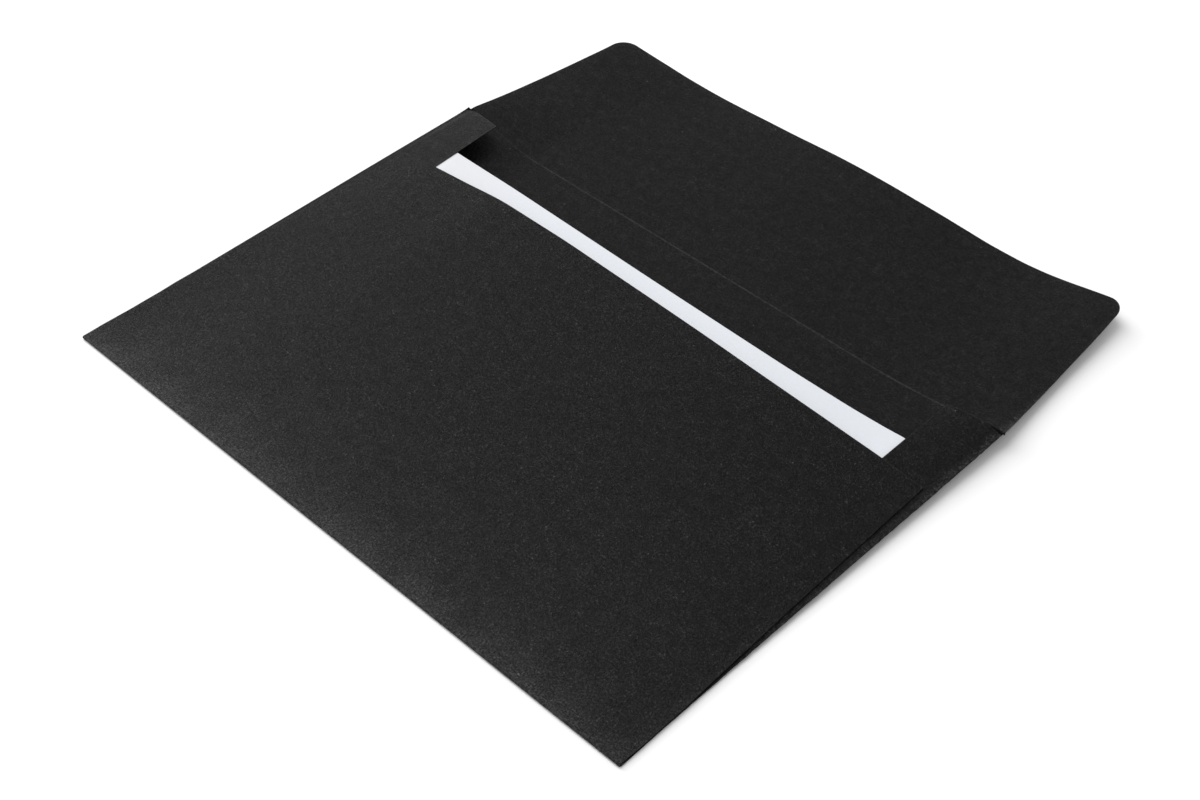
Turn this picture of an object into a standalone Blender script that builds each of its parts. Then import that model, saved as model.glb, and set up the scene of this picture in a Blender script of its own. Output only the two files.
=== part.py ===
"""Wallet-flap envelope, lying open on its back, with a card in its pocket.

Metres, +Z up. The back panel lies on Z = 0, the bottom fold is at -Y and the
open closure flap points to +Y. The origin is the middle of the footprint.
"""

import math

import bmesh
import bpy
from mathutils import Matrix, Vector

for old in list(bpy.data.objects):
    bpy.data.objects.remove(old, do_unlink=True)

# ---------------------------------------------------------------- dimensions
WIDTH = 0.1620          # across the closed envelope, fold to fold (C6)
DEPTH = 0.1149          # bottom fold to flap crease
FLAP_LENGTH = 0.0522    # flap crease to the flap's free edge
PAPER = 0.0002          # sheet thickness
GAP = 0.0003            # clearance between sheets that lie on each other

MOUTH = 0.0913          # front panel's free edge, from the bottom fold
FRONT_HALF_BOTTOM = 0.0806   # front panel's half width at the bottom fold
FRONT_HALF_MOUTH = 0.0785    # and at its free edge
BULGE_TOP = 0.0081      # highest point of the front panel, at its free edge
BULGE_X = -0.035        # where along X that point is
BULGE_REACH = 0.066     # the front panel lies flat on its seams beyond this X

SIDE_FLAP_INNER = 0.0677     # half distance between the side flaps' free edges
SIDE_FLAP_LOW = 0.0075       # side flap's lower corner at its free edge
SIDE_FLAP_TOP = 0.1111       # side flap's top edge: the folded closure flap clears it

FLAP_HALF_CREASE = 0.0808    # closure flap's half width next to the crease
FLAP_HALF_FREE = 0.0767      # and at its free edge
FLAP_CORNER = 0.0044         # radius of its free corners
CREASE_CLEAR = 0.0008        # each panel stops this far from the crease axis
CREASE_STRIP = 0.0010        # width of the scored strip under that axis

CARD_WIDTH = 0.1520
CARD_HEIGHT = 0.0980
CARD_THICK = 0.00025
CARD_LOW = 0.0013            # card's lower edge, from the bottom fold

GLUE_THICK = 0.0001
GLUE_INNER, GLUE_OUTER = 0.0695, 0.0765
GLUE_LOW, GLUE_HIGH = 0.0090, 0.0880

# ------------------------------------------------------------ heights of layers
CARD_Z = PAPER + GAP                       # underside of the card
SIDE_Z = CARD_Z + CARD_THICK + GAP         # underside of the side flaps
FRONT_Z = SIDE_Z + PAPER + GAP             # underside of the front panel
GLUE_Z = SIDE_Z + PAPER + (GAP - GLUE_THICK) / 2
SIDE_FOLD_R = (SIDE_Z + PAPER) / 2         # outer radius of a side fold
BOTTOM_FOLD_R = (FRONT_Z + PAPER) / 2      # outer radius of the bottom fold
Y0 = -(DEPTH + FLAP_LENGTH) / 2            # bottom fold's Y


def y_at(from_bottom_fold):
    return Y0 + from_bottom_fold


# ------------------------------------------------------------------- materials
def finish(name, colour, roughness):
    mat = bpy.data.materials.new(name)
    mat.use_nodes = True
    shader = next(n for n in mat.node_tree.nodes if n.type == "BSDF_PRINCIPLED")
    shader.inputs["Base Color"].default_value = (*colour, 1.0)
    shader.inputs["Roughness"].default_value = roughness
    shader.inputs["Metallic"].default_value = 0.0
    return mat


def add(name, bm, colour, roughness, parent=None, smooth=False):
    """Turns a bmesh, drawn in its parent's space, into a named object."""
    mesh = bpy.data.meshes.new(name)
    bmesh.ops.recalc_face_normals(bm, faces=bm.faces[:])
    bm.to_mesh(mesh)
    bm.free()
    obj = bpy.data.objects.new(name, mesh)
    bpy.context.scene.collection.objects.link(obj)
    obj.data.materials.append(finish(name + "_paper", colour, roughness))
    if parent is not None:
        obj.parent = parent
    if smooth:
        mesh.shade_smooth()
        mesh.set_sharp_from_angle(angle=math.radians(40))
    return obj


def axis_empty(name, location):
    empty = bpy.data.objects.new(name, None)
    empty.empty_display_size = 0.01
    empty.location = location
    bpy.context.scene.collection.objects.link(empty)
    return empty


BLACK = (0.0165, 0.0165, 0.0172)
BLACK_EDGE = (0.0230, 0.0230, 0.0238)


# ----------------------------------------------------------------- shape makers
def plate(outline, z, thickness):
    """A flat sheet: the outline as one face, extruded by the thickness."""
    bm = bmesh.new()
    face = bm.faces.new([bm.verts.new((x, y, z)) for x, y in outline])
    face.normal_update()
    if face.normal.z < 0:
        face.normal_flip()
    raised = bmesh.ops.extrude_face_region(bm, geom=[face])
    moved = [v for v in raised["geom"] if isinstance(v, bmesh.types.BMVert)]
    bmesh.ops.translate(bm, verts=moved, vec=(0, 0, thickness))
    return bm


def rolled_fold(a, b, centre, radius, towards, steps=10):
    """Half a ring of paper, swept over half a turn about the line a-b.

    It starts at the bottom layer, below the centre, and ends at the top one."""
    bm = bmesh.new()
    low = Vector((0, 0, -radius))
    high = Vector((0, 0, -radius + PAPER))
    c = Vector(centre)
    ends = [Vector(a), Vector(b)]
    ring = [ends[0] + low, ends[1] + low, ends[1] + high, ends[0] + high]
    face = bm.faces.new([bm.verts.new(p) for p in ring])
    axis = Vector(towards).cross(Vector((0, 0, 1))).normalized()
    bmesh.ops.spin(
        bm, geom=[face] + face.edges[:] + face.verts[:], cent=c, axis=axis,
        dvec=(0, 0, 0), angle=math.pi, steps=steps, use_duplicate=False,
    )
    return bm


def round_corners(corners, radii, steps=6):
    """A polygon's outline with an arc of the given radius at each corner."""
    points = []
    count = len(corners)
    for i, radius in enumerate(radii):
        p = Vector(corners[i])
        before = (Vector(corners[i - 1]) - p).normalized()
        after = (Vector(corners[(i + 1) % count]) - p).normalized()
        if radius <= 0:
            points.append((p.x, p.y))
            continue
        half = before.angle(after) / 2
        centre = p + (before + after).normalized() * (radius / math.sin(half))
        first = p + before * (radius / math.tan(half)) - centre
        last = p + after * (radius / math.tan(half)) - centre
        turn = math.atan2(first.x * last.y - first.y * last.x, first.dot(last))
        for k in range(steps + 1):
            q = Matrix.Rotation(turn * k / steps, 2) @ first
            points.append((centre.x + q.x, centre.y + q.y))
    return points


# ------------------------------------------------------------------ back panel
side_edge = WIDTH / 2 - SIDE_FOLD_R - GAP
back_low = y_at(BOTTOM_FOLD_R + GAP)
back_high = y_at(DEPTH - CREASE_CLEAR)
add(
    "back_panel",
    plate(
        [(-side_edge, back_low), (side_edge, back_low),
         (side_edge, back_high), (-side_edge, back_high)],
        0.0, PAPER,
    ),
    BLACK, 0.85,
)

# ----------------------------------------------------------------------- folds
add(
    "bottom_fold",
    rolled_fold(
        (-FRONT_HALF_BOTTOM, y_at(BOTTOM_FOLD_R), BOTTOM_FOLD_R),
        (FRONT_HALF_BOTTOM, y_at(BOTTOM_FOLD_R), BOTTOM_FOLD_R),
        (0, y_at(BOTTOM_FOLD_R), BOTTOM_FOLD_R), BOTTOM_FOLD_R, (0, -1, 0),
    ),
    BLACK_EDGE, 0.9, smooth=True,
)
fold_x = WIDTH / 2 - SIDE_FOLD_R
fold_low, fold_high = y_at(BOTTOM_FOLD_R + GAP), y_at(SIDE_FLAP_TOP)
for side, label in ((-1, "left"), (1, "right")):
    add(
        label + "_side_fold",
        rolled_fold(
            (side * fold_x, fold_low, SIDE_FOLD_R),
            (side * fold_x, fold_high, SIDE_FOLD_R),
            (side * fold_x, 0, SIDE_FOLD_R), SIDE_FOLD_R, (side, 0, 0), steps=8,
        ),
        BLACK_EDGE, 0.9, smooth=True,
    )

# ------------------------------------------------------- side flaps and seams
for side, label in ((-1, "left"), (1, "right")):
    add(
        label + "_side_flap",
        plate(
            [(side * side_edge, y_at(0.0030)), (side * SIDE_FLAP_INNER, y_at(SIDE_FLAP_LOW)),
             (side * SIDE_FLAP_INNER, y_at(SIDE_FLAP_TOP)), (side * side_edge, y_at(SIDE_FLAP_TOP))],
            SIDE_Z, PAPER,
        ),
        BLACK, 0.85,
    )
    add(
        label + "_seam_glue",
        plate(
            [(side * GLUE_OUTER, y_at(GLUE_LOW)), (side * GLUE_INNER, y_at(GLUE_LOW)),
             (side * GLUE_INNER, y_at(GLUE_HIGH)), (side * GLUE_OUTER, y_at(GLUE_HIGH))],
            GLUE_Z, GLUE_THICK,
        ),
        (0.35, 0.33, 0.28), 0.4,
    )


# ----------------------------------------------------------------- front panel
def bulge(x):
    """Share of the front panel's bulge at x: 0 on the seams, 1 at its crest."""
    edge = -BULGE_REACH if x < BULGE_X else BULGE_REACH
    t = min(1.0, abs((x - BULGE_X) / (edge - BULGE_X)))
    return 0.5 * (1 + math.cos(math.pi * t))


def front_underside(x, from_bottom_fold):
    crest = BULGE_TOP - PAPER - FRONT_Z
    return FRONT_Z + crest * bulge(x) * from_bottom_fold / MOUTH


bm = bmesh.new()
COLUMNS, ROWS = 28, 8
front_low = BOTTOM_FOLD_R + GAP
rows = []
for j in range(ROWS + 1):
    up = front_low + (MOUTH - front_low) * j / ROWS
    half = FRONT_HALF_BOTTOM + (FRONT_HALF_MOUTH - FRONT_HALF_BOTTOM) * up / MOUTH
    row = []
    for i in range(COLUMNS + 1):
        x = half * (2 * i / COLUMNS - 1)
        row.append(bm.verts.new((x, y_at(up), front_underside(x, up))))
    rows.append(row)
for j in range(ROWS):
    for i in range(COLUMNS):
        bm.faces.new((rows[j][i], rows[j][i + 1], rows[j + 1][i + 1], rows[j + 1][i]))
front = add("front_panel", bm, BLACK, 0.85, smooth=True)
solid = front.modifiers.new("paper thickness", "SOLIDIFY")
solid.thickness = PAPER
solid.offset = 1.0
solid.use_even_offset = False

# ------------------------------------------------------- crease and closure flap
# The flap turns about the upper, inner face of the sheet, so that folded over
# it lies on the back panel and not in it.
crease_y = y_at(DEPTH)
crease_half = FLAP_HALF_CREASE - GAP
add(
    "flap_crease",
    plate(
        [(-crease_half, crease_y - CREASE_STRIP / 2), (crease_half, crease_y - CREASE_STRIP / 2),
         (crease_half, crease_y + CREASE_STRIP / 2), (-crease_half, crease_y + CREASE_STRIP / 2)],
        0.0, PAPER,
    ),
    BLACK_EDGE, 0.9,
)

flap_axis = axis_empty("flap_axis", (0, crease_y, PAPER))
add(
    "closure_flap",
    plate(
        round_corners(
            [(-FLAP_HALF_CREASE, CREASE_CLEAR), (FLAP_HALF_CREASE, CREASE_CLEAR),
             (FLAP_HALF_FREE, FLAP_LENGTH), (-FLAP_HALF_FREE, FLAP_LENGTH)],
            [0, 0, FLAP_CORNER, FLAP_CORNER],
        ),
        -PAPER, PAPER,
    ),
    BLACK, 0.85, parent=flap_axis,
)

# ------------------------------------------------------------------------ card
card_slide = axis_empty("card_slide", (0, y_at(CARD_LOW), CARD_Z))
add(
    "insert_card",
    plate(
        [(-CARD_WIDTH / 2, 0), (CARD_WIDTH / 2, 0),
         (CARD_WIDTH / 2, CARD_HEIGHT), (-CARD_WIDTH / 2, CARD_HEIGHT)],
        0.0, CARD_THICK,
    ),
    (0.80, 0.81, 0.84), 0.6, parent=card_slide,
)
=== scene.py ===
"""The looks of the open wallet-flap envelope: curled paper sheets, the card, fibrous black paper, camera and light."""

import math

import bpy
import numpy as np
from mathutils import Matrix, Vector


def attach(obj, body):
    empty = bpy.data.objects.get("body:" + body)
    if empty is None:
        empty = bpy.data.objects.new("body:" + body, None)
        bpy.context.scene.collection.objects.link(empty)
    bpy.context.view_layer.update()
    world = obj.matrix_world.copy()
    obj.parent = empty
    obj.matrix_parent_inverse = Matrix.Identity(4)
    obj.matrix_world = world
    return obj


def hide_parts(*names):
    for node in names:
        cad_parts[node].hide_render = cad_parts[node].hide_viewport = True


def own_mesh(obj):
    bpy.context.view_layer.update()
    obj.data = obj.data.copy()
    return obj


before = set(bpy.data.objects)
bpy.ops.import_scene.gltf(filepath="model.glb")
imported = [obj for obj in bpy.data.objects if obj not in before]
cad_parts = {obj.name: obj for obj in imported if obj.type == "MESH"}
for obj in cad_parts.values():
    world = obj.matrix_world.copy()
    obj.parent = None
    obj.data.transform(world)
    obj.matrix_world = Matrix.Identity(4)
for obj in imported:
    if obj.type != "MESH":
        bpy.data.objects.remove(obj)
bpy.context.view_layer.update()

# ------------------------------------------------------------------------------------------------ sizes, in mm
# Shapes are worked out with Y from the bottom fold and Z from the table, and go to the row frame in put().
DEPTH, FLAP_LENGTH, MOUTH = 114.9, 52.3, 91.5
HALF = 81.0
PAPER, CARD = 0.20, 0.25
R_SIDE, R_BOTTOM = 0.22, 0.42  # outer radii of the folds
START = R_BOTTOM - 0.18  # where the back panel starts, above the bottom fold
SIDE_X = HALF - R_SIDE  # where the side folds start
INNER_LEFT, INNER_RIGHT = 67.6, 67.65  # free edges of the side flaps
GLUE_GAP = 0.05
CARD_HALF, CARD_LOW, CARD_HIGH, CARD_TURN = 76.0, 1.3, 99.3, 0.0037
SLIDE = 13.4
CORNER = 4.3
Y_SHIFT = -(DEPTH + 52.2) / 2


# ------------------------------------------------------------------------------------------------ curves
def spline(*points):
    """A smooth curve through (position, value) points that never overshoots them, flat beyond its ends."""
    xs, vs = np.array(points, float).T
    w = np.diff(xs)
    steps = np.diff(vs) / w
    slopes = np.zeros(len(xs))
    a, b = steps[:-1], steps[1:]
    wa, wb = 2 * w[1:] + w[:-1], w[1:] + 2 * w[:-1]
    same = a * b > 0
    slopes[1:-1][same] = ((wa + wb)[same]) / (wa[same] / a[same] + wb[same] / b[same])
    slopes[0], slopes[-1] = steps[0], steps[-1]

    def at(x):
        x = np.clip(np.asarray(x, float), xs[0], xs[-1])
        i = np.clip(np.searchsorted(xs, x, side="right") - 1, 0, len(xs) - 2)
        h = w[i]
        t = (x - xs[i]) / h
        return (
            (2 * t**3 - 3 * t**2 + 1) * vs[i]
            + (t**3 - 2 * t**2 + t) * h * slopes[i]
            + (3 * t**2 - 2 * t**3) * vs[i + 1]
            + (t**3 - t**2) * h * slopes[i + 1]
        )

    return at


def ease(t):
    t = np.clip(t, 0, 1)
    return t * t * (3 - 2 * t)


def soft_ramp(y, start, end, soft):
    """0 well below start, 1 at end, straight in between, with a rounded corner at start."""
    up = lambda v: soft * np.logaddexp(0, (v - start) / soft)
    return (up(y) - up(0)) / (up(end) - up(0))


def waves(x, y, seed, length, size):
    """Gentle unevenness of a paper sheet: a few crossing waves, the same each run."""
    rng = np.random.default_rng(seed)
    total = 0
    for _ in range(7):
        turn, phase = rng.uniform(0, math.tau, 2)
        wave = length * rng.uniform(0.7, 1.8)
        total = total + np.sin(math.tau * (x * math.cos(turn) + y * math.sin(turn)) / wave + phase)
    return size * total / math.sqrt(7)


# Heights read from the outline and edges of the photograph.
lift_left = spline((0, 0), (6, 0.034), (13, 0.28), (41, 1.31), (64, 2.14), (87, 2.99), (103, 3.56), (111, 3.86), (114.9, 4.2))
lift_right = spline((0, 0), (12, 0), (21, 0.09), (34, 0.4), (54, 0.9), (75, 1.44), (90, 1.82), (97, 2.18), (105, 2.56), (112, 2.92), (114.9, 3.15))
mouth_top = spline((-78.5, 4.15), (-67, 5.72), (-57.5, 6.65), (-41, 8.18), (-26, 8.16), (-10, 7.6), (5, 7), (19, 6.32), (32, 5.55), (46, 4.75), (59, 3.98), (68, 3.48), (78.5, 2.55))
flap_end = spline((-77, 2.1), (-71, 1.5), (-62, 0.85), (-53, 0.32), (-44, 0.15), (-36, 0.28), (-28, 0.6), (-20, 0.9), (-12, 1.3), (-5, 1.6), (3, 1.7), (11, 1.62), (18, 1.36), (26, 1), (34, 0.55), (41, 0.26), (48, 0.32), (55, 0.8), (61, 1.65), (67, 2.8), (73, 3.9), (77, 4.4))
side_end_left = spline((-81, 4.64), (-77.6, 5.3), (-75.4, 5.75), (-72.8, 6.25), (-70.5, 6.65), (-67.6, 7.1))
side_end_right = spline((67.65, 4), (71, 4.45), (74, 4.5), (77.5, 4.2), (81, 3.6))
card_end = spline((-73.6, 5.84), (-66.2, 5.56), (-49.4, 5.3), (-33.1, 4.73), (-18.2, 4.18), (-3.4, 3.64), (11.4, 3.21), (25.3, 2.81), (38.2, 2.53), (51.1, 2.48), (61, 2.76), (66.9, 3.18), (76.9, 4.43))
bottom_swell = spline((-81, 0.4), (-60, 0.55), (-30, 0.5), (10, 0.3), (50, 0.22), (81, 0.22))
# How far the outline stands outside the blank's own at each side: the curled sides also draw in.
trim_left = spline((0, -0.25), (8, -0.35), (14, -0.5), (19, -0.5), (26, -0.25), (50, -0.22), (75, -0.17), (100, -0.2), (114.9, -0.25), (121, -0.3), (128, -0.05), (136, 0.28), (143.5, 0.36), (154, 0.27), (162, 0.1), (167.1, 0.1))
trim_right = spline((0, 0.37), (4, 0.27), (10, 0.1), (20, -0.04), (50, -0.13), (80, -0.05), (95, 0.03), (105, 0.12), (114.9, 0.2), (118, 0.2), (125, 0.08), (136, -0.1), (143.5, -0.16), (154, -0.09), (162, -0.14), (167.1, 0.1))


def back_low(x, y):
    """Underside of the back panel: flat on the table, its sides curling up towards the crease."""
    v = np.clip(y / DEPTH, 0, 1)
    start_left = HALF - 22 * (0.35 + 0.65 * v)
    start_right = HALF - 33 * (0.4 + 0.6 * v)
    left = np.clip((-x - start_left) / (HALF - start_left), 0, 1) ** 1.1
    right = np.clip((x - start_right) / (HALF - start_right), 0, 1) ** 1.55
    return lift_left(y) * left + lift_right(y) * right


def front_half(y):
    """Half width of the front panel, whose cut sides reach the side folds below and draw in towards the mouth."""
    return SIDE_X + 0.16 * ease((y - START) / 6) + (78.5 - SIDE_X - 0.16) * np.clip((y - 17) / (MOUTH - 17), 0, 1)


def front_high(x, y):
    """Upper face of the front panel, bowed by what is inside, with an open mouth."""
    half = front_half(y)
    inside = ease((half - np.abs(x)) / 5)
    wide = ease((half - np.abs(x)) / np.where(x < 0, 34, 24))
    base = 2 * R_BOTTOM + 0.11 * ease(y / 6) * inside + bottom_swell(x) * ease((y - 0.5) / 12) * wide
    rise = soft_ramp(y, 9, MOUTH, 3.0)
    uneven = waves(x, y, 11, 26, 0.05) * ease((y - 6) / 25) * inside
    return base + (mouth_top(x * 78.5 / half) - base) * rise + uneven


def front_lip(x, y):
    """How far the glued front panel's free side edges stand off the side flaps."""
    away = np.clip(front_half(y) - np.abs(x), 0, None)
    return np.where(x > 0, 0.03, 0.0) * np.exp(-away / 0.9) * ease(y / MOUTH * 1.4)


def side_top_y(side, x):
    """Y of a side flap's top edge, which slopes from the crease down to its free corner."""
    inner, low = (INNER_LEFT, 111.75) if side < 0 else (INNER_RIGHT, 113.4)
    return DEPTH + (low - DEPTH) * np.clip((HALF - np.abs(x)) / (HALF - inner), 0, 1)


def side_low_y(side, x):
    """Y of a side flap's hidden lower end."""
    inner = INNER_LEFT if side < 0 else INNER_RIGHT
    return START + (8 - START) * np.clip((SIDE_X - np.abs(x)) / (SIDE_X - inner), 0, 1) ** 0.8


def side_high(side, x, y):
    """Upper face of a side flap: glued under the front panel, free above the mouth."""
    under = front_high(x, np.minimum(y, MOUTH)) - PAPER - GLUE_GAP
    end = (side_end_left if side < 0 else side_end_right)(x)
    free = under + (end - under) * np.clip((y - MOUTH) / (side_top_y(side, x) - MOUTH), 0, 1)
    fold = (lift_left if side < 0 else lift_right)(y) + 2 * R_SIDE
    z = fold + (free - fold) * ease((SIDE_X - np.abs(x)) / 2.3)
    return np.maximum(z, fold) if side < 0 else z


def flap_half(y, x=-1):
    """Half width of the closure flap before its corners are rounded. It starts inside the left fold, over the right."""
    past = np.clip(y - DEPTH, 0, None)
    notch = np.where(x < 0, 0.45 * np.exp(-past / 1.5) + 0.2 * np.exp(-past / 8), -0.38 * np.exp(-past / 4))
    return HALF - 4.3 * np.clip((y - DEPTH) / FLAP_LENGTH, 0, 1) - notch


def flap_low(x, y):
    """Underside of the closure flap: the crease's curl dies out and the free edge has its own."""
    t = np.clip((y - DEPTH) / FLAP_LENGTH, 0, 1)
    curl = back_low(x, DEPTH + 0 * y) * (1 - t) ** 2 + flap_end(x * 76.7 / flap_half(y)) * t**1.3
    # At the right end of the crease the flap has come away from the side fold and stands a little over it.
    past = np.clip(y - DEPTH, 0, None)
    sprung = 0.75 * ease((x - 75.0) / 1.2) * ease(past / 0.55) * np.exp(-past / 3)
    return np.maximum(curl + sprung + (0.08 + waves(x, y, 23, 30, 0.05)) * ease(t * 6), 0)


def card_low(x, y):
    """Underside of the card: curved between the back panel and what covers it, with room to slide up."""
    want = 0.22 + (card_end(x) - 0.22) * np.clip(y / CARD_HIGH, 0, 1)
    floor = back_low(x, np.minimum(y + SLIDE, DEPTH)) + PAPER + 0.02
    cover = front_high(x, np.minimum(y, MOUTH)) - PAPER
    side = np.where(x < 0, side_high(-1, x, y), side_high(1, x, y)) - PAPER
    edge = np.where(x < 0, INNER_LEFT, INNER_RIGHT) - 0.6
    cover = np.where(np.abs(x) > edge, side, np.where(y < MOUTH + 1, cover, 99))
    # Low in the pocket's corners the sheets leave less room than the card needs, so they share what is missing.
    shared = 0.16 * ease((33 - y) / 20) * (np.abs(x) > edge)
    return np.minimum(np.maximum(floor, want), cover - CARD - 0.02 + shared)


# ------------------------------------------------------------------------------------------------ sheets
class Sheet:
    """The middle surface of one sheet of paper, as quads in named panels. build() gives each panel its thickness."""

    def __init__(self, thickness):
        self.thickness = thickness
        self.points, self.flat, self.quads, self.panel = [], [], [], []

    def add(self, x, y, z, u, v):
        """Adds a grid of points with their places on the flat blank, and returns their numbers."""
        x, y, z, u, v = np.broadcast_arrays(*[np.asarray(a, float) for a in (x, y, z, u, v)])
        first = len(self.points)
        self.points += list(np.stack([x.ravel(), y.ravel(), z.ravel()], 1))
        self.flat += list(np.stack([u.ravel(), v.ravel()], 1))
        return np.arange(first, first + x.size).reshape(x.shape)

    def cover(self, numbers, panel, flip=False):
        """Fills a grid of point numbers with quads."""
        a, b, c, d = numbers[:-1, :-1], numbers[:-1, 1:], numbers[1:, 1:], numbers[1:, :-1]
        order = (a, d, c, b) if flip else (a, b, c, d)
        quads = np.stack([q.ravel() for q in order], 1)
        self.quads += list(quads)
        self.panel += [panel] * len(quads)

    def finish(self):
        self.points, self.flat, self.quads = map(np.array, (self.points, self.flat, self.quads))
        self.panel = np.array(self.panel)
        p = self.points[self.quads]
        face = np.cross(p[:, 2] - p[:, 0], p[:, 3] - p[:, 1])
        n = np.zeros_like(self.points)
        for k in range(4):
            np.add.at(n, self.quads[:, k], face)
        self.normals = n / np.linalg.norm(n, axis=1)[:, None]
        self.rim = self.from_cut_edge()
        return self

    def from_cut_edge(self):
        """Each point's distance on the blank from the sheet's nearest cut edge. The crease isn't one."""
        edges = np.concatenate([self.quads[:, [k, (k + 1) % 4]] for k in range(4)])
        known = set(map(tuple, edges.tolist()))
        cut = np.array([e for e in edges.tolist() if (e[1], e[0]) not in known])
        creased = np.all(np.abs(self.points[cut, 1] - DEPTH) < 1e-6, axis=1)
        start, end = self.flat[cut[~creased, 0]], self.flat[cut[~creased, 1]]
        way = end - start
        best = np.full(len(self.flat), 9.0)
        for a, w in zip(start, way):
            near = np.flatnonzero(np.abs(self.flat - a).max(axis=1) < 9)
            share = np.clip((self.flat[near] - a) @ w / (w @ w + 1e-12), 0, 1)
            best[near] = np.minimum(best[near], np.linalg.norm(self.flat[near] - a - share[:, None] * w, axis=1))
        return best

    def build(self, name, panels, materials, bevel=None):
        """Makes the closed solid of some panels. bevel(points, normals) may move the underside's edge points."""
        quads = self.quads[np.isin(self.panel, panels)]
        used, quads = np.unique(quads, return_inverse=True)
        quads = quads.reshape(-1, 4)
        p, n, uv, rim_mm = self.points[used], self.normals[used], self.flat[used], self.rim[used]
        count = len(used)
        inner, outer = p + n * self.thickness / 2, p - n * self.thickness / 2
        if bevel:
            outer = bevel(p, outer)
        edges = np.concatenate([quads[:, [k, (k + 1) % 4]] for k in range(4)])
        known = set(map(tuple, edges))
        rim = np.array([e for e in edges if (e[1], e[0]) not in known])
        walls = np.stack([rim[:, 1], rim[:, 0], rim[:, 0] + count, rim[:, 1] + count], 1)
        faces = np.concatenate([quads, quads[:, ::-1] + count, walls])

        mesh = bpy.data.meshes.new(name)
        mesh.from_pydata(put(np.concatenate([inner, outer])).tolist(), [], faces.tolist())
        layer = mesh.uv_layers.new(name="blank")
        corners = faces.ravel() % count
        layer.data.foreach_set("uv", (uv[corners] / 1000).ravel())
        layer = mesh.uv_layers.new(name="rim")
        layer.data.foreach_set("uv", np.stack([rim_mm[corners] / 1000, 0 * rim_mm[corners]], 1).ravel())
        mesh.polygons.foreach_set("use_smooth", [True] * (2 * len(quads)) + [False] * len(walls))
        mesh.polygons.foreach_set("material_index", [0] * (2 * len(quads)) + [1] * len(walls))
        for material in materials:
            mesh.materials.append(material)
        sharp = {tuple(sorted(e)) for e in rim} | {tuple(sorted(e + count)) for e in rim}
        sharp |= {tuple(sorted((e, e + count))) for e in rim.ravel()}
        flags = mesh.attributes.new("sharp_edge", "BOOLEAN", "EDGE")
        ends = np.zeros(2 * len(mesh.edges), int)
        mesh.edges.foreach_get("vertices", ends)
        flags.data.foreach_set("value", [tuple(sorted(e)) in sharp for e in ends.reshape(-1, 2).tolist()])
        mesh.validate()
        # Panels of one sheet meet with the same shading on both sides of the line.
        given = np.zeros((len(faces), 4, 3))
        given[: len(quads)] = n[quads]
        given[len(quads) : 2 * len(quads)] = -n[quads[:, ::-1]]
        out = np.array([f.normal for f in mesh.polygons[2 * len(quads) :]]) if len(walls) else np.zeros((0, 3))
        given[2 * len(quads) :] = out[:, None, :]
        mesh.normals_split_custom_set(given.reshape(-1, 3).tolist())
        obj = bpy.data.objects.new(name, mesh)
        bpy.context.scene.collection.objects.link(obj)
        return obj


def put(points):
    """From the drawing's mm to the row frame's metres, with the sides drawn in where they curl up."""
    x, y, z = np.array(points, float).T
    low, fade = np.clip(y, 0, DEPTH), (1 - np.clip((y - DEPTH) / FLAP_LENGTH, 0, 1)) ** 2
    left = trim_left(y) - 0.085 * lift_left(low) * fade
    right = trim_right(y) - 0.061 * lift_right(low) * fade
    x = x - left * ease((-x - 40) / 40) + right * ease((x - 40) / 40)
    return np.stack([x, y + Y_SHIFT, z], 1) / 1000


def spread(start, end, count, dense_start=0.0, dense_end=0.0):
    """Positions from start to end, closer together near the ends that ask for it."""
    t = np.linspace(0, 1, count)
    t = t + dense_start * (t * (1 - t) ** 2) * -1 + dense_end * (t**2 * (1 - t))
    return start + (end - start) * t


# ------------------------------------------------------------------------------------------------ materials
class Nodes:
    """Short names for the shader nodes used here."""

    def __init__(self, material):
        material.use_nodes = True
        self.tree = material.node_tree
        self.tree.nodes.clear()

    def new(self, kind, inputs=None, **settings):
        node = self.tree.nodes.new(kind)
        for key, value in settings.items():
            setattr(node, key, value)
        for key, value in (inputs or {}).items():
            if isinstance(value, bpy.types.NodeSocket):
                self.tree.links.new(value, node.inputs[key])
            else:
                node.inputs[key].default_value = value
        return node

    def math(self, operation, *values, clamp=False):
        return self.new("ShaderNodeMath", dict(enumerate(values)), operation=operation, use_clamp=clamp).outputs[0]

    def vector(self, operation, a, b=None, scale=None):
        inputs = {0: a}
        if b is not None:
            inputs[1] = b
        if scale is not None:
            inputs["Scale"] = scale
        return self.new("ShaderNodeVectorMath", inputs, operation=operation).outputs[0]

    def noise(self, vector, scale, detail=2.0, roughness=0.5, distortion=0.0, colour=False):
        node = self.new(
            "ShaderNodeTexNoise",
            {"Vector": vector, "Scale": scale, "Detail": detail, "Roughness": roughness, "Distortion": distortion},
            noise_dimensions="3D",
        )
        return node.outputs["Color" if colour else "Fac"]

    def ramp(self, value, low, high, out_low=0.0, out_high=1.0, smooth=True):
        return self.new(
            "ShaderNodeMapRange",
            {0: value, 1: low, 2: high, 3: out_low, 4: out_high},
            interpolation_type="SMOOTHSTEP" if smooth else "LINEAR",
            clamp=True,
        ).outputs[0]

    def mix(self, factor, a, b, blend="MIX"):
        node = self.new("ShaderNodeMix", data_type="RGBA", blend_type=blend, clamp_factor=True)
        for index, value in ((0, factor), (6, a), (7, b)):
            if isinstance(value, bpy.types.NodeSocket):
                self.tree.links.new(value, node.inputs[index])
            else:
                node.inputs[index].default_value = value
        return node.outputs[2]

    def place(self):
        """(vector in mm on the flat blank, its U, its V)."""
        uv = self.new("ShaderNodeUVMap", uv_map="blank").outputs[0]
        p = self.vector("SCALE", uv, scale=1000.0)
        parts = self.new("ShaderNodeSeparateXYZ", {0: p})
        return p, parts.outputs[0], parts.outputs[1]


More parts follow.
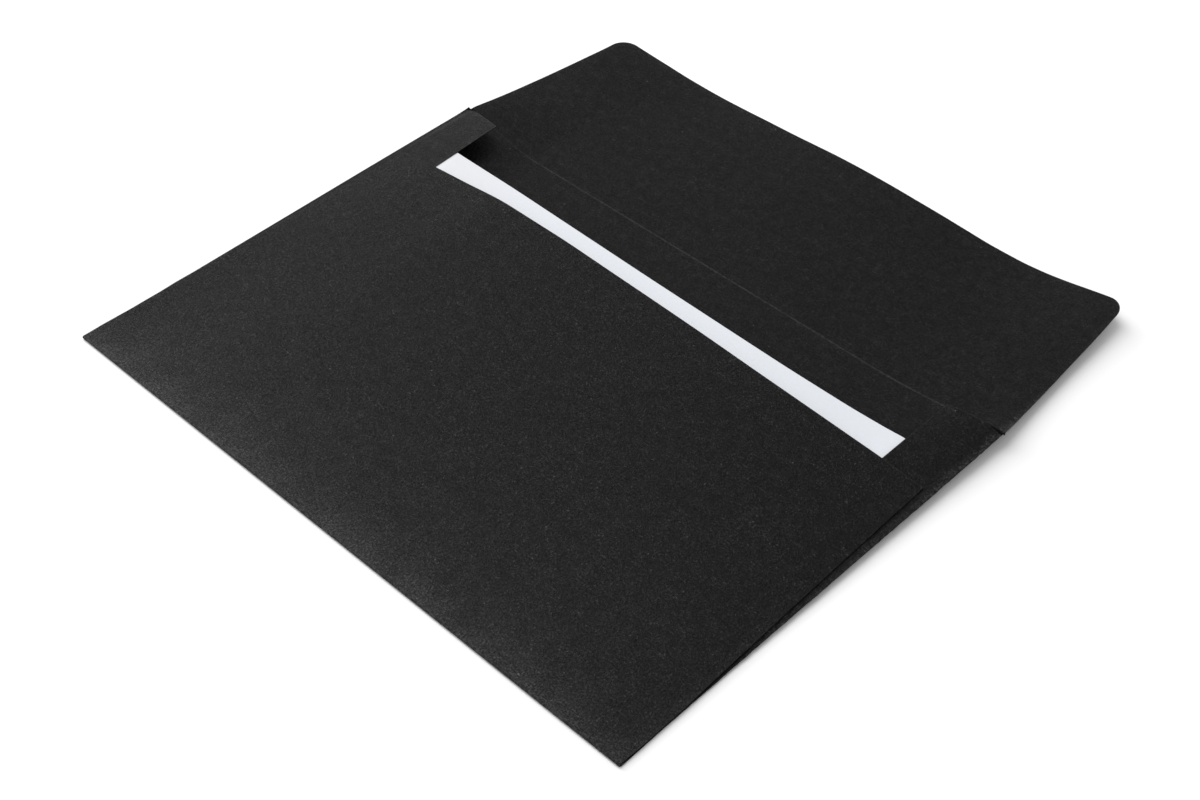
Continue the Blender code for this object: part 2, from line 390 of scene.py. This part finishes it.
def fibres(t, p, turn, length, width, low, high, seed):
    """Short thin strands that run about one way, as a mask."""
    bend = t.vector("SCALE", t.noise(p, 0.35, 1.0, colour=True), scale=1.2)
    moved = t.vector("ADD", t.vector("ADD", p, bend), (seed * 13.7, seed * 7.1, seed * 3.3))
    turned = t.new("ShaderNodeMapping", {"Vector": moved, "Rotation": (0, 0, turn)}, vector_type="POINT").outputs[0]
    long = t.vector("MULTIPLY", turned, (1 / length, 1 / width, 1.0))
    return t.ramp(t.noise(long, 1.0, 1.0, 0.4), low, high)


PAPER_COLOUR = (0.00215, 0.00215, 0.00215)


def black_paper(name, edge=False, rim_highlight_gain=1.0, relief=1.0, level=0.083):
    """Uncoated black paper: mottled pulp, pale fibres and specks, paler where folds and edges have worn; painted
    highlights on the cut edges and the crease, a painted sheen on the lower front and painted shade.
    """
    material = bpy.data.materials.new(name)
    t = Nodes(material)
    p, u, v = t.place()
    off_cut = t.math("MULTIPLY", t.new("ShaderNodeSeparateXYZ", {0: t.new("ShaderNodeUVMap", uv_map="rim").outputs[0]}).outputs[0], 1000.0)

    clouds = t.noise(p, 0.06, 2.0, 0.5)
    mottle = t.noise(p, 0.38, 2.0, 0.6)
    pulp = t.noise(p, 1.35, 2.0, 0.7)
    grain = t.noise(p, 2.5, 2.0, 0.75)
    strands = [fibres(t, p, turn, 0.95, 0.15, 0.56, 0.72, k) for k, turn in enumerate((0.2, 1.25, 2.3))]
    strand = t.math("MAXIMUM", t.math("MAXIMUM", strands[0], strands[1]), strands[2])
    hairs = [fibres(t, p, turn, 2.6, 0.14, 0.68, 0.79, k + 7) for k, turn in enumerate((0.7, 2.4))]
    hair = t.math("MAXIMUM", hairs[0], hairs[1])
    cell = t.new("ShaderNodeTexVoronoi", {"Vector": p, "Scale": 0.25, "Randomness": 1.0}, feature="F1")
    chosen = t.ramp(t.new("ShaderNodeSeparateColor", {0: cell.outputs["Color"]}).outputs[0], 0.55, 0.85)
    speck = t.math("MULTIPLY", t.ramp(cell.outputs["Distance"], 0.02, 0.055, 1.0, 0.0), chosen)

    # Uneven in the way of pulp: many slightly dark places and fewer pale ones.
    uneven = t.math("MULTIPLY", t.math("SUBTRACT", clouds, 0.5), 0.9)
    for noise, share in ((mottle, 3.6), (pulp, 5.5), (grain, 7.0 + 2.5 * (relief - 1))):
        uneven = t.math("MULTIPLY_ADD", t.math("SUBTRACT", noise, 0.5), share, uneven)
    value = t.math("EXPONENT", uneven)
    value = t.math("MULTIPLY_ADD", strand, 2.6, value)
    value = t.math("MULTIPLY_ADD", hair, 5.0, value)
    value = t.math("MULTIPLY_ADD", speck, 40.0, value)

    # Painted shade: the right ends of the front and of the side flap are darker, where the sheen of the lamps at the
    # left fades.
    painted_shade_right = t.math("MULTIPLY", t.ramp(u, 5.0, 72.0, 0.0, 1.1), t.ramp(v, -80.0, -20.0, 1.0, 0.0))
    painted_shade_side_flap = t.math("MULTIPLY", t.math("GREATER_THAN", u, 67.0), t.math("MULTIPLY", t.ramp(v, 60.0, 90.0, 0.0, 0.7), t.math("LESS_THAN", v, 115.0)))
    value = t.math("MAXIMUM", t.math("SUBTRACT", value, t.math("MAXIMUM", painted_shade_right, painted_shade_side_flap)), 0.08)

    # Wear at the bottom fold (V = 0) and the side folds (U = 81). The crease (V = 115) gets a pale line, partly worn
    # and partly a painted highlight, and the cut edges get a painted highlight.
    fray = t.noise(p, 1.1, 4.0, 0.7)
    fray_wide = t.noise(p, 0.13, 2.0, 0.5)
    tufts = t.math("MULTIPLY", t.ramp(grain, 0.36, 0.68, 0.25, 1.9), t.ramp(pulp, 0.32, 0.62, 0.4, 1.4))
    reach = t.math("ADD", t.math("MULTIPLY", fray_wide, 6.0), t.math("MULTIPLY", fray, 3.0))
    bottom = t.ramp(t.math("SUBTRACT", t.math("ABSOLUTE", v), reach), -5.2, 2.4, 1.0, 0.0)
    bottom = t.math("MULTIPLY", bottom, t.ramp(u, -75.0, 40.0, 1.0, 0.4))
    bottom = t.math("MULTIPLY", bottom, t.ramp(fray, 0.3, 0.72, 0.25, 1.0))
    near_side = t.math("ABSOLUTE", t.math("SUBTRACT", t.math("ABSOLUTE", u), 81.1))
    side = t.ramp(t.math("SUBTRACT", near_side, t.math("MULTIPLY", fray, 3.0)), -1.6, 0.5, 1.0, 0.0)
    side = t.math("MULTIPLY", side, t.ramp(fray, 0.36, 0.66, 0.2, 1.0))
    side = t.math("MULTIPLY", t.math("MULTIPLY", side, t.math("GREATER_THAN", u, 0.0)), t.math("MULTIPLY", t.ramp(v, 24.0, 48.0, 0.1, 1.0), t.ramp(v, 84.0, 98.0, 1.0, 1.5)))
    # A pale line along the crease: worn fibres, and a painted highlight where the fold's ridge would catch the light.
    crease = t.ramp(t.math("ABSOLUTE", t.math("SUBTRACT", v, 115.16)), 0.08, 0.36, 1.0, 0.0)
    crease = t.math("MULTIPLY", crease, t.ramp(fray, 0.35, 0.62, 0.3, 1.0))
    crease = t.math("MULTIPLY", crease, t.math("MULTIPLY", t.ramp(u, -67.0, -50.0, 0.3, 1.0), t.ramp(u, 75.0, 77.0, 1.0, 0.0)))
    # Painted highlight: a thin pale line along the cut edges, where they would catch the light.
    rim = t.math("MULTIPLY", t.ramp(off_cut, 0.08, 0.3, 1.0, 0.0), t.ramp(fray, 0.35, 0.6, 0.25, 1.0))
    rim = t.math("MULTIPLY", rim, t.math("MAXIMUM", t.math("GREATER_THAN", v, 0.0), t.ramp(v, -89.6, -87.5, 1.0, 0.1)))
    # The front panel's right cut edge is scuffed in patches near the bottom corner.
    scuff = t.math("MULTIPLY", t.ramp(t.math("SUBTRACT", off_cut, t.math("MULTIPLY", fray_wide, 5.0)), -2.6, 0.4, 1.0, 0.0), t.ramp(v, -62.0, -12.0, 0.0, 1.0))
    scuff = t.math("MULTIPLY", t.math("MULTIPLY", scuff, t.math("GREATER_THAN", u, 0.0)), t.math("LESS_THAN", v, 0.0))
    wear = t.math("MULTIPLY", bottom, 3.0)
    wear = t.math("MULTIPLY_ADD", side, 9.0, wear)
    wear = t.math("MULTIPLY_ADD", scuff, 2.2, wear)
    value = t.math("MULTIPLY_ADD", wear, tufts, value)
    value = t.math("MULTIPLY_ADD", crease, 9.5, value)
    # The front pales towards the bottom fold: worn fuzz close to the fold, and a painted sheen of the lamps at the left
    # over the lower front, stronger towards the left.
    up = t.math("ABSOLUTE", v)
    rubbed_and_painted_sheen = t.math("MULTIPLY", t.math("EXPONENT", t.math("MULTIPLY", up, -1 / 28)), t.math("MULTIPLY", t.ramp(u, -82.0, -66.0, 0.25, 1.0), t.ramp(u, 55.0, 81.0, 1.0, 0.3)))
    rubbed_and_painted_sheen = t.math("MULTIPLY", t.math("MULTIPLY", rubbed_and_painted_sheen, t.ramp(u, -70.0, 60.0, 5.6, 3.4)), t.math("MULTIPLY_ADD", tufts, 0.4, 0.6))
    close = t.math("MULTIPLY", t.math("EXPONENT", t.math("MULTIPLY", up, -1 / 4.5)), t.ramp(u, -60.0, 20.0, 11.5, 8.0))
    rubbed_and_painted_sheen = t.math("ADD", rubbed_and_painted_sheen, t.math("MULTIPLY", close, t.math("MULTIPLY_ADD", tufts, 0.75, 0.25)))
    rubbed_and_painted_sheen = t.math("MULTIPLY", t.math("MULTIPLY", rubbed_and_painted_sheen, t.math("LESS_THAN", v, 1.0)), t.ramp(fray_wide, 0.3, 0.7, 0.75, 1.25))
    # Painted light along the left side's fold and cut edges, where the fold's curve turns away from the lamps, and
    # along the closure flap's cut edges, stronger towards the lamps at the left.
    painted_edge_light = t.math("MULTIPLY", t.math("EXPONENT", t.math("MULTIPLY", t.math("MINIMUM", off_cut, near_side), -1 / 0.8)), 2.8)
    painted_edge_light = t.math("MULTIPLY", t.math("MULTIPLY", painted_edge_light, t.math("LESS_THAN", u, 0.0)), t.math("MULTIPLY", t.math("LESS_THAN", v, 115.0), t.ramp(v, -90.5, -88.0)))
    on_flap = t.math("MULTIPLY", t.math("GREATER_THAN", v, 115.3), t.ramp(u, -81.0, 40.0, 2.4, 0.9))
    painted_edge_light = t.math("MULTIPLY_ADD", t.math("EXPONENT", t.math("MULTIPLY", off_cut, -1 / 1.8)), on_flap, painted_edge_light)
    value = t.math("MULTIPLY_ADD", painted_edge_light, tufts, t.math("ADD", rubbed_and_painted_sheen, value))
    # Adds the painted highlight along the cut edges.
    value = t.math("MULTIPLY_ADD", rim, 0.0 if edge else 6.0 * rim_highlight_gain, value)
    if edge:
        value = t.math("ADD", value, 0.3)

    # Painted shade at the ends of the crease, where the sheets part: the shadowed gaps are darkened in the colour.
    from_crease = t.math("ABSOLUTE", t.math("SUBTRACT", v, 115.0))
    painted_crease_end_shade = t.math("MULTIPLY", t.ramp(u, 74.8, 75.6, 0.0, 1.0), t.ramp(from_crease, 0.25, 0.45, 1.0, 0.0))
    painted_crease_end_shade = t.math("MAXIMUM", painted_crease_end_shade, t.math("MULTIPLY", t.ramp(u, -80.2, -79.2, 1.0, 0.0), t.ramp(from_crease, 0.5, 1.1, 1.0, 0.0)))
    value = t.math("MULTIPLY", value, t.math("SUBTRACT", 1.0, painted_crease_end_shade))
    colour = t.vector("SCALE", PAPER_COLOUR, scale=value)
    worn = t.math("ADD", t.math("ADD", bottom, side), scuff, clamp=True)
    height = t.math("MULTIPLY_ADD", pulp, 0.5, t.math("MULTIPLY", grain, 0.6))
    height = t.math("MULTIPLY_ADD", mottle, 0.6, height)
    height = t.math("MULTIPLY_ADD", strand, 0.2, height)
    height = t.math("MULTIPLY_ADD", worn, t.math("MULTIPLY", fray, 0.8), height)
    bump = t.new("ShaderNodeBump", {"Strength": 1.0, "Distance": 0.00013 * relief, "Height": height})
    rough = t.ramp(mottle, 0.3, 0.7, 0.45, 0.39)
    for noise, share in ((pulp, 0.22), (grain, 0.36), (strand, 0.05)):
        rough = t.math("MULTIPLY_ADD", t.math("SUBTRACT", noise, 0.5 if noise is not strand else 0.1), -share * relief, rough)
    rough = t.math("MULTIPLY_ADD", worn, 0.02, rough)
    rough = t.math("MULTIPLY_ADD", painted_crease_end_shade, 0.55, rough, clamp=True)
    shader = t.new(
        "ShaderNodeBsdfPrincipled",
        {"Base Color": colour, "Roughness": rough, "Specular IOR Level": level, "Normal": bump.outputs[0]},
    )
    t.new("ShaderNodeOutputMaterial", {0: shader.outputs[0]})
    return material


def white_card(name, edge=False):
    """Smooth plain white card with a faint pulp texture, and painted shade towards its right end."""
    material = bpy.data.materials.new(name)
    t = Nodes(material)
    p, u, v = t.place()
    pulp = t.noise(p, 0.8, 4.0, 0.6)
    grain = t.noise(p, 5.0, 2.0, 0.6)
    strand = fibres(t, p, 0.8, 1.8, 0.2, 0.6, 0.75, 3)
    shade = t.math("MULTIPLY", t.ramp(pulp, 0.2, 0.8, 0.985, 1.012), t.ramp(grain, 0.2, 0.8, 0.99, 1.01))
    shade = t.math("SUBTRACT", shade, t.math("MULTIPLY", strand, 0.01))
    near_edge = t.math("SUBTRACT", CARD_HALF, t.math("ABSOLUTE", u))
    near_edge = t.math("MINIMUM", near_edge, t.math("SUBTRACT", CARD_HIGH, v))
    shade = t.math("MULTIPLY", shade, t.ramp(near_edge, 0.0, 0.5, 0.97, 1.0))
    # Painted shade: the card darkens towards its right end.
    shade = t.math("MULTIPLY", shade, t.ramp(u, 10.0, 68.0, 1.0, 0.95))
    tint = t.mix(t.ramp(u, -68.0, -30.0), (0.642, 0.648, 0.675, 1), (0.66, 0.68, 0.72, 1)) if not edge else (0.67, 0.69, 0.72)
    colour = t.vector("SCALE", tint, scale=shade)
    height = t.math("ADD", t.math("MULTIPLY", pulp, 0.5), t.math("MULTIPLY", grain, 0.3))
    bump = t.new("ShaderNodeBump", {"Strength": 0.2, "Distance": 0.00002, "Height": height})
    rough = t.ramp(grain, 0.2, 0.8, 0.5, 0.62)
    shader = t.new(
        "ShaderNodeBsdfPrincipled",
        {"Base Color": colour, "Roughness": rough, "Specular IOR Level": 0.4, "Normal": bump.outputs[0]},
    )
    t.new("ShaderNodeOutputMaterial", {0: shader.outputs[0]})
    return material


def dried_glue(name):
    """Thin, dry, slightly yellow film of paper glue."""
    material = bpy.data.materials.new(name)
    t = Nodes(material)
    p, u, v = t.place()
    blots = t.noise(p, 0.35, 3.0, 0.6)
    bubbles = t.noise(p, 2.4, 2.0, 0.5)
    colour = t.mix(t.ramp(blots, 0.3, 0.7), (0.30, 0.28, 0.22, 1), (0.42, 0.40, 0.33, 1))
    bump = t.new("ShaderNodeBump", {"Strength": 0.3, "Distance": 0.00002, "Height": bubbles})
    shader = t.new(
        "ShaderNodeBsdfPrincipled",
        {"Base Color": colour, "Roughness": t.ramp(bubbles, 0.3, 0.7, 0.3, 0.5), "Normal": bump.outputs[0]},
    )
    t.new("ShaderNodeOutputMaterial", {0: shader.outputs[0]})
    return material


paper = [black_paper("black_paper_sheet", level=0.079), black_paper("black_paper_cut_edge", edge=True)]
side_paper = [black_paper("black_paper_side", level=0.086), paper[1]]
right_paper = [black_paper("black_paper_right", relief=2.4, level=0.089), paper[1]]
flap_paper = [black_paper("black_paper_flap", rim_highlight_gain=0.2, level=0.076), paper[1]]
front_paper = [black_paper("black_paper_front", relief=3.0, level=0.101), paper[1]]
card_stock = [white_card("white_card_sheet"), white_card("white_card_cut_edge", edge=True)]
glue_film = [dried_glue("dried_paper_glue")] * 2

# ------------------------------------------------------------------------------------------------ the pocket's blank
# One sheet: back panel, a fold and a flap at each side, and the bottom fold with the front panel. V is 0 at the bottom
# fold and U is 81 at the side folds, both along the paper.
pocket = Sheet(PAPER)
r_side, r_bottom = R_SIDE - PAPER / 2, R_BOTTOM - PAPER / 2
ARC, COLS, ROWS = 8, 131, 121
rows = spread(START, DEPTH, ROWS, 0.5, 0.5)[:, None]
cols = spread(-SIDE_X, SIDE_X, COLS, 0.35, 0.35)[None, :]
v_of = lambda y: y - START + r_bottom * math.pi / 2
u_fold = SIDE_X + r_side * math.pi / 2

back = pocket.add(cols, rows, back_low(cols, rows) + PAPER / 2, cols, v_of(rows))
pocket.cover(back, "back")
for side, name in ((-1, "left"), (1, "right")):
    edge = back[:, 0 if side < 0 else -1]
    low = back_low(side * SIDE_X + 0 * rows, rows)
    turn = np.linspace(-math.pi / 2, math.pi / 2, ARC + 1)[None, 1:]
    # The arc starts level with the panel's edge and ends level with the flap's first column.
    lift = (lift_left if side < 0 else lift_right)(rows) - low
    ease_in = (turn + math.pi / 2) / math.pi
    # The right fold is scuffed, so that its outline is a little ragged.
    ragged = np.random.default_rng(5).normal(0, 0.035, rows.shape) * (side > 0) * ease(rows / 20)
    arc = pocket.add(
        side * (SIDE_X + (r_side + ragged) * np.cos(turn)) + 0 * rows,
        rows + 0 * turn,
        low + lift * ease_in + R_SIDE + r_side * np.sin(turn),
        side * (SIDE_X + r_side * (turn + math.pi / 2)) + 0 * rows,
        v_of(rows) + 0 * turn,
    )
    arc = np.concatenate([edge[:, None], arc], 1)
    inner = INNER_LEFT if side < 0 else INNER_RIGHT
    x = side * spread(SIDE_X, inner, 26, 0.7, 0.0)[None, 1:]
    share = (rows - rows[0]) / (rows[-1] - rows[0])
    y = side_low_y(side, x) + (side_top_y(side, x) - side_low_y(side, x)) * share
    flap = pocket.add(
        x + 0 * y, y, side_high(side, x, y) - PAPER / 2, side * (u_fold * 2 - np.abs(x)) + 0 * y, v_of(y)
    )
    flap = np.concatenate([arc[:, -1:], flap], 1)
    pocket.cover(arc, name, flip=side < 0)
    pocket.cover(flap, name, flip=side < 0)

turn = np.linspace(-math.pi / 2, -3 * math.pi / 2, ARC + 3)[1:, None]
fold = pocket.add(
    cols + 0 * turn,
    START + r_bottom * np.cos(turn),
    R_BOTTOM + r_bottom * np.sin(turn),
    cols + 0 * turn,
    r_bottom * (math.pi / 2 - np.abs(turn + math.pi / 2)),
)
fold = np.concatenate([back[:1], fold])
y = spread(START, MOUTH, 101, 0.7, 0.3)[1:, None]
x = cols / SIDE_X * front_half(y)
front = pocket.add(x, y, front_high(x, y) + front_lip(x, y) - PAPER / 2, x, -v_of(y))
front = np.concatenate([fold[-1:], front])
pocket.cover(fold, "front", flip=True)
pocket.cover(front, "front", flip=True)
pocket.finish()


def crease_bevel(step):
    """Slants the cut at the crease, so that the two sheets close on each other like a fold."""

    def move(middle, outer):
        near = np.abs(middle[:, 1] - DEPTH) < 1e-6
        outer = outer.copy()
        outer[near, 1] += step
        return outer

    return move


pieces = {
    "pocket_back_panel": (pocket.build("pocket_back_panel", ["back"], paper, crease_bevel(-0.1)), ["back_panel", "flap_crease"]),
    "pocket_front_panel": (pocket.build("pocket_front_panel", ["front"], front_paper), ["front_panel", "bottom_fold"]),
    "pocket_left_side_flap": (pocket.build("pocket_left_side_flap", ["left"], side_paper), ["left_side_flap", "left_side_fold"]),
    "pocket_right_side_flap": (pocket.build("pocket_right_side_flap", ["right"], right_paper), ["right_side_flap", "right_side_fold"]),
}
for side, name in ((-1, "left"), (1, "right")):
    film = Sheet(0.03)
    x = side * np.linspace(76.5, 69.5, 9)[None, :]
    y = np.linspace(9, 88, 60)[:, None]
    grid = film.add(x + 0 * y, y + 0 * x, front_high(x, y) - PAPER - GLUE_GAP / 2, x + 0 * y, y + 0 * x)
    film.cover(grid, "film", flip=side > 0)
    film.finish()
    pieces[f"{name}_glue_film"] = (film.build(f"{name}_glue_film", ["film"], glue_film), [f"{name}_seam_glue"])

for name, (obj, nodes) in pieces.items():
    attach(obj, "pocket")
    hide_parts(*nodes)
    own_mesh(obj)

# ------------------------------------------------------------------------------------------------ the closure flap
flap = Sheet(PAPER)
end_half = flap_half(DEPTH + FLAP_LENGTH)
turn = np.linspace(0, math.pi / 2, 13)[1:]
straight = np.linspace(-(end_half - CORNER), end_half - CORNER, 105)
xe = np.concatenate([-(end_half - CORNER + CORNER * np.sin(turn))[::-1], straight, end_half - CORNER + CORNER * np.sin(turn)])[None, :]
ye = DEPTH + FLAP_LENGTH - CORNER + CORNER * np.sqrt(np.clip(1 - (np.clip(np.abs(xe) - (end_half - CORNER), 0, None) / CORNER) ** 2, 0, 1))
share = np.concatenate([np.linspace(0, 0.02, 7)[:-1], np.linspace(0.02, 1, 47)])[:, None]
y = DEPTH + (ye - DEPTH) * share
x = xe / end_half * flap_half(y, xe)
grid = flap.add(x, y, flap_low(x, y) + PAPER / 2, x, v_of(y))
flap.cover(grid, "flap")
flap.finish()
closure = flap.build("closure_flap_sheet", ["flap"], flap_paper, crease_bevel(0.1))
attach(closure, "flap")
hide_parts("closure_flap")
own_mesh(closure)

# ------------------------------------------------------------------------------------------------ the card
card = Sheet(CARD)
x = np.linspace(-CARD_HALF, CARD_HALF, 121)[None, :]
y = np.linspace(CARD_LOW, CARD_HIGH, 81)[:, None]
u, v = x + 0 * y, y + 0 * x
x, y = u - CARD_TURN * (v - 50), v + CARD_TURN * u - 0.1
grid = card.add(x, y, card_low(x, y) + CARD / 2, u, v)
card.cover(grid, "card")
card.finish()
insert = card.build("insert_card_sheet", ["card"], card_stock)
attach(insert, "card")
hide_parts("insert_card")
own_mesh(insert)

# ------------------------------------------------------------------------------------------------ floor, light, camera
bpy.ops.mesh.primitive_plane_add(size=8, location=(0, 0, -0.00006))
floor = bpy.context.object
floor.name = "floor"
white = bpy.data.materials.new("floor_white")
white.use_nodes = True
sheet = white.node_tree.nodes["Principled BSDF"]
sheet.inputs["Base Color"].default_value = (0.9, 0.9, 0.9, 1)
sheet.inputs["Roughness"].default_value = 0.9
sheet.inputs["Specular IOR Level"].default_value = 0.0
floor.data.materials.append(white)

world = bpy.data.worlds.new("studio")
bpy.context.scene.world = world
world.use_nodes = True
world.node_tree.nodes["Background"].inputs["Color"].default_value = (1, 1, 1, 1)
world.node_tree.nodes["Background"].inputs["Strength"].default_value = 0.667


def softbox(name, direction, distance, size, power):
    data = bpy.data.lights.new(name, "AREA")
    data.shape = "DISK"
    data.size = size
    data.energy = power
    lamp = bpy.data.objects.new(name, data)
    out = Vector(direction).normalized()
    lamp.location = out * distance
    lamp.rotation_mode = "QUATERNION"
    lamp.rotation_quaternion = out.to_track_quat("Z", "Y")
    lamp.visible_camera = False
    bpy.context.scene.collection.objects.link(lamp)


def towards(azimuth, elevation):
    """Direction at an angle from +X round to +Y, and above the table, in degrees."""
    a, e = math.radians(azimuth), math.radians(elevation)
    return math.cos(a) * math.cos(e), math.sin(a) * math.cos(e), math.sin(e)


softbox("window_low", towards(181, 17), 1.2, 0.8, 2.1)
softbox("window_middle", towards(180, 38), 1.2, 0.8, 4.75)
softbox("window_high", towards(168, 69), 1.2, 0.9, 6.2)

data = bpy.data.cameras.new("camera")
camera = bpy.data.objects.new("camera", data)
bpy.context.scene.collection.objects.link(camera)
data.lens, data.sensor_width, data.sensor_fit = 60.1685, 36.0, "HORIZONTAL"
data.clip_start, data.clip_end = 0.01, 50
data.shift_x = 0.0009
right = Vector((0.71741565, 0.69646628, 0.01579575)).normalized()
down = Vector((0.486329, -0.48446542, -0.7271708)).normalized()
forward = right.cross(down).normalized()
place = Vector((0.224627, -0.243212, 0.292080))
camera.matrix_world = Matrix(
    [[right[i], -down[i], -forward[i], place[i]] for i in range(3)] + [[0, 0, 0, 1]]
)
bpy.context.scene.camera = camera
bpy.context.scene.view_settings.view_transform = "Standard"
